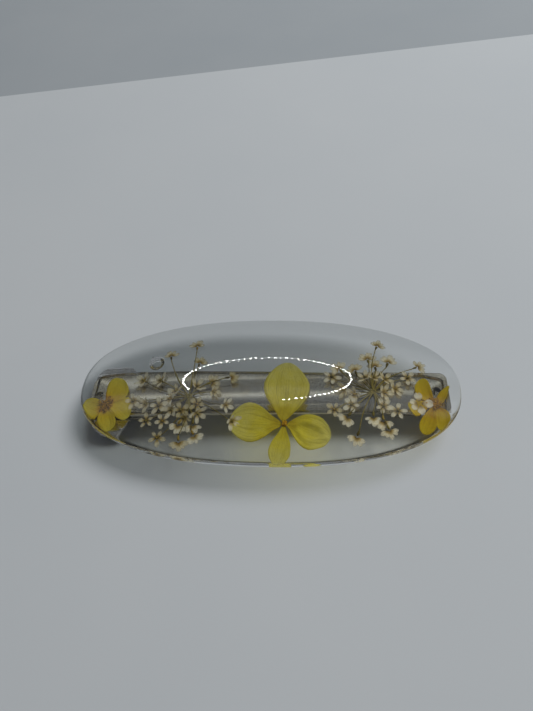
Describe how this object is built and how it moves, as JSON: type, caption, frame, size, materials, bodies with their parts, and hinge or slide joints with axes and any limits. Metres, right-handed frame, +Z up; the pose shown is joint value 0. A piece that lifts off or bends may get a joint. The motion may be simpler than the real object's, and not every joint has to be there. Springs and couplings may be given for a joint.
{
  "type": "hair barrette",
  "caption": "Domed oval clear-resin hair barrette with embedded pressed flowers, on a steel French clip that pinches open and closes on its latch.",
  "frame": {"origin": "under the middle of the oval casting, on the surface the closed clip lies on (the outer face of the clasp arm)", "axes": "+X along the barrette from the latch to the hinge, +Y across it, +Z up out of the domed casting"},
  "size_m": [0.085, 0.0378, 0.011],
  "materials": {
    "clear_resin": "polished",
    "clear_glue": "gloss",
    "yellow_petal": "matte",
    "golden_petal": "matte",
    "dried_stamen": "matte",
    "dried_stalk": "matte",
    "cream_floret": "matte",
    "plated_steel": "satin",
    "spring_steel": "satin"
  },
  "bodies": {
    "barrette_base": {"casting_dome": "clear_resin", "casting_back": "clear_resin", "hydrangea_petal_far": "yellow_petal", "hydrangea_petal_left": "yellow_petal", "hydrangea_petal_near": "yellow_petal", "hydrangea_petal_right": "yellow_petal", "hydrangea_eye": "dried_stamen", "left_blossom_petals": "yellow_petal", "left_blossom_heart": "dried_stamen", "right_blossom_petals": "golden_petal", "right_blossom_heart": "dried_stamen", "left_umbel_rays": "dried_stalk", "left_umbel_florets": "cream_floret", "right_umbel_rays": "dried_stalk", "right_umbel_florets": "cream_floret", "loose_floret": "cream_floret", "adhesive_bed": "clear_glue", "base_plate": "plated_steel", "hinge_pin": "plated_steel", "latch_base": "plated_steel", "latch_rivet": "plated_steel"},
    "clasp_arm": {"clasp_arm": "plated_steel"},
    "tension_bar": {"tension_bar": "spring_steel"},
    "latch_prong_front": {"latch_prong_front": "spring_steel"},
    "latch_prong_back": {"latch_prong_back": "spring_steel"}
  },
  "joints": [
    {"name": "arm_hinge", "type": "hinge", "parent": "barrette_base", "child": "clasp_arm", "pos_m": [0.03629, -0.00045, 0.0025], "axis": [0.0262, -0.9997, 0], "range_deg": [0, 65]},
    {"name": "tension_bar_lift", "type": "hinge", "parent": "barrette_base", "child": "tension_bar", "pos_m": [0.03629, -0.00045, 0.0025], "axis": [0.0262, -0.9997, 0], "range_deg": [0, 4]},
    {"name": "latch_front_pinch", "type": "hinge", "parent": "barrette_base", "child": "latch_prong_front", "pos_m": [-0.03474, -0.00416, 0.0029], "axis": [0.9997, 0.0262, 0], "range_deg": [0, 12], "stiffness_Nm_per_rad": 0.1},
    {"name": "latch_back_pinch", "type": "hinge", "parent": "barrette_base", "child": "latch_prong_back", "pos_m": [-0.03484, -0.00046, 0.0029], "axis": [-0.9997, -0.0262, 0], "range_deg": [0, 12], "stiffness_Nm_per_rad": 0.1}
  ],
  "couplings": [
    {"joint": "tension_bar_lift", "follows": "arm_hinge", "ratio": 0.06}
  ]
}
